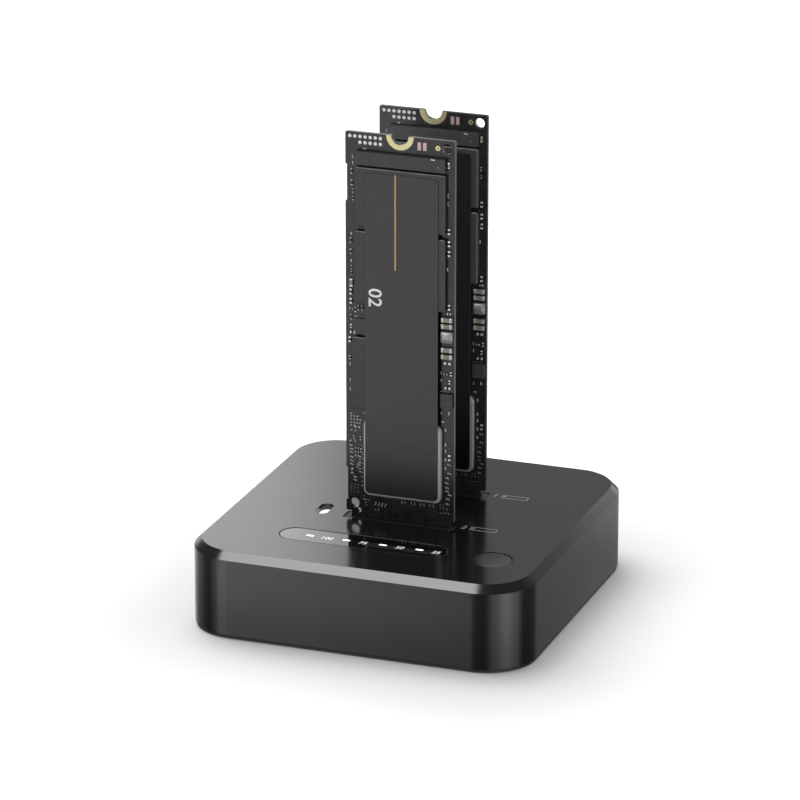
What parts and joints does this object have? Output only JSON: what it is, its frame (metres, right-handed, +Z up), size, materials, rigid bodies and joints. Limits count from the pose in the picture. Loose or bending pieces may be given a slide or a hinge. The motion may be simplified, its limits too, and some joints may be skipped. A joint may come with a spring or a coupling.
{
  "type": "drive duplicator",
  "caption": "Square desktop dock with chamfered top that holds solid state drives upright in card sockets and copies one to the other.",
  "frame": {"origin": "on the surface it stands on, under the centre of the square base", "axes": "+Z up along the drives; -Y towards the front with the indicator window; +X to the right seen from the front"},
  "size_m": [0.0688, 0.0688, 0.0949],
  "materials": {
    "housing": "satin gloss moulded black",
    "cover": "fine textured black",
    "feet": "matte black",
    "screws": "zinc plated",
    "board": "black solder mask",
    "socket": "black glass-filled nylon",
    "contacts": "gold plated",
    "chips": "moulded epoxy",
    "cans": "bright",
    "ferrite": "moulded iron powder",
    "window": "smoked, polished",
    "light": "white diffuser",
    "clear": "clear polycarbonate",
    "switch": "moulded",
    "button": "satin black",
    "steel": "nickel plated",
    "pin": "nickel plated brass",
    "label": "matt printed film"
  },
  "bodies": {
    "dock": {"top_housing": "housing", "bottom_cover": "cover", "rubber_feet": "feet", "cover_screws": "screws", "main_board": "board", "board_screws": "screws", "target_socket": "socket", "source_socket": "socket", "target_socket_contacts": "contacts", "source_socket_contacts": "contacts", "clone_chip": "chips", "firmware_chip": "chips", "crystal": "cans", "inductors": "ferrite", "regulator_chips": "chips", "capacitors": "cans", "indicator_window": "window", "indicator_leds": "light", "light_guide": "clear", "status_lens": "light", "clone_switch": "switch", "power_switch": "switch", "usb_port_shell": "steel", "usb_port_tongue": "socket", "usb_port_contacts": "contacts", "dc_jack_housing": "socket", "dc_jack_pin": "pin"},
    "clone_button": {"clone_button": "button", "clone_switch_stem": "switch"},
    "power_button": {"power_button": "button", "power_switch_stem": "switch"},
    "target_drive": {"target_drive_board": "board", "target_drive_label": "label", "target_drive_memory_chips": "chips", "target_drive_controller": "chips", "target_drive_cache_chip": "chips", "target_drive_small_chips": "chips", "target_drive_power_parts": "cans", "target_drive_screw_pads": "contacts", "target_drive_edge_contacts": "contacts"},
    "source_drive": {"source_drive_board": "board", "source_drive_label": "label", "source_drive_memory_chips": "chips", "source_drive_controller": "chips", "source_drive_cache_chip": "chips", "source_drive_small_chips": "chips", "source_drive_power_parts": "cans", "source_drive_screw_pads": "contacts", "source_drive_edge_contacts": "contacts"}
  },
  "joints": [
    {"name": "target_drive_slide", "type": "slide", "parent": "dock", "child": "target_drive", "axis": [0, 0, 1], "range_m": [0, 0.03]},
    {"name": "source_drive_slide", "type": "slide", "parent": "dock", "child": "source_drive", "axis": [0, 0, 1], "range_m": [0, 0.03]},
    {"name": "clone_button_press", "type": "slide", "parent": "dock", "child": "clone_button", "axis": [0, 0, -1], "range_m": [0, 0.0005], "stiffness_N_per_m": 2000},
    {"name": "power_button_press", "type": "slide", "parent": "dock", "child": "power_button", "axis": [0, -1, 0], "range_m": [0, 0.001], "stiffness_N_per_m": 1500}
  ]
}
